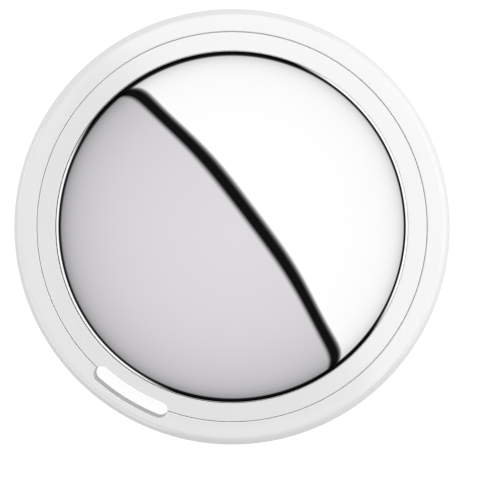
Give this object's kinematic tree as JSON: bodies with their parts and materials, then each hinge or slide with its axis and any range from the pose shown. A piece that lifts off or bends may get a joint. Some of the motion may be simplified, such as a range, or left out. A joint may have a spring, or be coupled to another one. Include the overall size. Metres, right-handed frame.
{
  "type": "bluetooth tracker tag",
  "caption": "Round coin-cell Bluetooth tracker tag: white glossy body, mirror-polished twist-off steel battery cover, curved lanyard slot, press-in front plate.",
  "frame": {"origin": "centre of the round footprint on the white front face, the lowest plane of the tag", "axes": "+Z out of the steel battery cover, the tag's axis; -Y through the middle of the lanyard slot; +X to the right seen from the cover side with the slot at the bottom"},
  "size_m": [0.032, 0.032, 0.0087],
  "materials": {
    "white_plastic": "gloss",
    "mirror_steel": "polished",
    "black_plastic": "matte",
    "adhesive": "satin",
    "foam": "matte",
    "silicone": "matte",
    "cell_steel": "satin",
    "cell_plastic": "matte",
    "cathode_mix": "matte",
    "lithium": "matte",
    "board_mask": "satin",
    "chip_epoxy": "matte",
    "metal_can": "satin",
    "ceramic_body": "matte",
    "ferrite": "matte",
    "contact_metal": "satin",
    "piezo_brass": "satin",
    "piezo_white": "satin"
  },
  "bodies": {
    "housing": {"front_shell": "white_plastic", "back_ring": "white_plastic", "battery_tray": "black_plastic", "positive_contact_a": "contact_metal", "positive_contact_b": "contact_metal", "negative_contact": "contact_metal", "pcb": "board_mask", "soc_chip": "chip_epoxy", "main_crystal": "metal_can", "sleep_crystal": "metal_can", "chip_antenna": "ceramic_body", "buzzer_driver": "chip_epoxy", "bulk_capacitor": "ceramic_body", "boost_inductor": "ferrite", "tact_switch": "metal_can", "piezo_spring_a": "contact_metal", "piezo_spring_b": "contact_metal"},
    "cover_seal": {"cover_gasket": "silicone"},
    "battery_cover": {"steel_cover": "mirror_steel", "cover_adhesive": "adhesive", "bayonet_carrier": "black_plastic", "foam_pad": "foam"},
    "coin_cell": {"cell_can": "cell_steel", "cell_cap": "cell_steel", "cell_seal": "cell_plastic", "cell_cathode": "cathode_mix", "cell_anode": "lithium"},
    "front_button": {"click_plate": "white_plastic", "return_ring": "silicone", "piezo_plate": "piezo_brass", "piezo_ceramic": "piezo_white", "actuator_pad": "silicone", "switch_plunger": "black_plastic"}
  },
  "joints": [
    {"name": "cover_lift", "type": "slide", "parent": "housing", "child": "cover_seal", "axis": [0, 0, 1], "range_m": [0, 0.014]},
    {"name": "cover_twist", "type": "hinge", "parent": "cover_seal", "child": "battery_cover", "pos_m": [0, 0, 0.0079], "axis": [0, 0, 1], "range_deg": [-20, 0]},
    {"name": "battery_lift", "type": "slide", "parent": "housing", "child": "coin_cell", "axis": [0, 0, 1], "range_m": [0, 0.007]},
    {"name": "button_press", "type": "slide", "parent": "housing", "child": "front_button", "axis": [0, 0, 1], "range_m": [0, 0.00025], "stiffness_N_per_m": 1500, "springref_m": -0.0005}
  ],
  "couplings": [
    {"joint": "battery_lift", "follows": "cover_lift", "ratio": 0.5}
  ]
}
